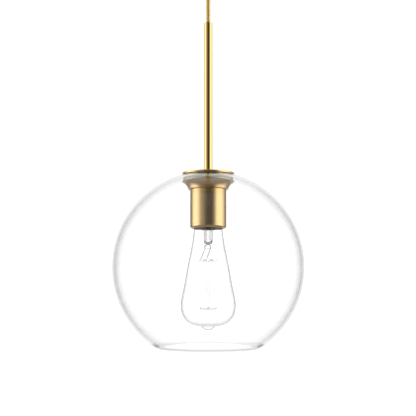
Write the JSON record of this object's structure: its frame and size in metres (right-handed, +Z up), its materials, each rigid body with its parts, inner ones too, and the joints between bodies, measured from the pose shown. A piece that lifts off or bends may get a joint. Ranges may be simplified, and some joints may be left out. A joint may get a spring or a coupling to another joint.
{
  "type": "pendant ceiling light",
  "caption": "Clear glass globe and filament bulb hung below a ceiling canopy on a slim brass stem and cord, the globe clamped by a threaded flared collar round the socket.",
  "frame": {"origin": "centre of the mounting bar's upper face, in the plane of the ceiling", "axes": "+Z up through the ceiling along the cord; +X along the mounting bar; the light hangs to -Z"},
  "size_m": [0.203, 0.203, 0.4268],
  "materials": {
    "polished_brass": "polished",
    "satin_brass": "satin",
    "clear_glass": "clear, faint green-grey edge",
    "bulb_clear_glass": "clear, thin",
    "gold_braid": "fine metallic braid",
    "zinc_steel": "zinc plated",
    "green_screw": "green dyed plating",
    "porcelain": "glazed white",
    "nickel_shell": "bare, satin",
    "brass_base": "rolled, satin",
    "black_insulator": "glossy black",
    "solder": "dull solder",
    "wire_nickel": "drawn wire",
    "tungsten": "fine coiled wire",
    "silicone": "translucent",
    "white_nylon": "moulded",
    "lead_black": "PVC",
    "lead_white": "PVC",
    "lead_green": "PVC"
  },
  "bodies": {
    "ceiling_fitting": {"crossbar": "zinc_steel", "ground_screw": "green_screw", "canopy_studs": "zinc_steel", "stud_nuts": "zinc_steel", "canopy": "satin_brass", "canopy_cap_nuts": "polished_brass", "grip_body": "satin_brass", "grip_washer": "zinc_steel", "grip_locknut": "zinc_steel", "grip_collet": "white_nylon", "grip_cap": "polished_brass", "terminal_block": "white_nylon", "terminal_screws": "zinc_steel", "block_screw": "zinc_steel", "canopy_live_lead": "lead_black", "canopy_neutral_lead": "lead_white", "canopy_ground_lead": "lead_green", "cord_in_canopy": "gold_braid"},
    "cord": {"cord_free": "gold_braid"},
    "pendant": {"cord_in_stem": "gold_braid", "stem_bushing": "white_nylon", "stem_tube": "polished_brass", "top_disc": "polished_brass", "upper_gasket": "silicone", "cup_lid": "satin_brass", "socket_cup": "satin_brass", "bracket": "zinc_steel", "bracket_ground_screw": "green_screw", "stem_washer": "zinc_steel", "stem_nut": "zinc_steel", "cord_anchor": "white_nylon", "anchor_screw": "zinc_steel", "lampholder_body": "porcelain", "lampholder_screws": "zinc_steel", "screw_shell": "nickel_shell", "centre_contact": "brass_base", "lampholder_terminals": "brass_base", "lampholder_terminal_screws": "zinc_steel", "cup_live_lead": "lead_black", "cup_neutral_lead": "lead_white", "cup_ground_lead": "lead_green"},
    "globe": {"glass_globe": "clear_glass", "lower_gasket": "silicone"},
    "collar": {"collar": "satin_brass"},
    "bulb_tip": {"bulb_contact": "solder"},
    "bulb": {"bulb_insulator": "black_insulator", "bulb_base_shell": "brass_base", "bulb_glass": "bulb_clear_glass", "bulb_flare": "bulb_clear_glass", "bulb_exhaust_tube": "bulb_clear_glass", "bulb_rod": "bulb_clear_glass", "bulb_lead_wires": "wire_nickel", "upper_supports": "wire_nickel", "lower_supports": "wire_nickel", "filament": "tungsten"}
  },
  "joints": [
    {"name": "swing_side", "type": "hinge", "parent": "ceiling_fitting", "child": "cord", "pos_m": [0, 0, -0.04], "axis": [0, 1, 0], "range_deg": [-20, 20]},
    {"name": "swing_fore", "type": "hinge", "parent": "cord", "child": "pendant", "pos_m": [0, 0, -0.078], "axis": [1, 0, 0], "range_deg": [-20, 20]},
    {"name": "globe_drop", "type": "slide", "parent": "pendant", "child": "globe", "axis": [0, 0, -1], "range_m": [0, 0.008]},
    {"name": "collar_turn", "type": "hinge", "parent": "globe", "child": "collar", "pos_m": [0, 0, -0.2524], "axis": [0, 0, -1], "range_deg": [0, 1440]},
    {"name": "bulb_drop", "type": "slide", "parent": "pendant", "child": "bulb_tip", "axis": [0, 0, -1], "range_m": [0, 0.01814]},
    {"name": "bulb_turn", "type": "hinge", "parent": "bulb_tip", "child": "bulb", "pos_m": [0, 0, -0.28], "axis": [0, 0, -1], "range_deg": [0, 1800]}
  ],
  "couplings": [
    {"joint": "collar_turn", "follows": "globe_drop", "rad_per_m": 3141.6},
    {"joint": "bulb_turn", "follows": "bulb_drop", "rad_per_m": 1731.4}
  ]
}
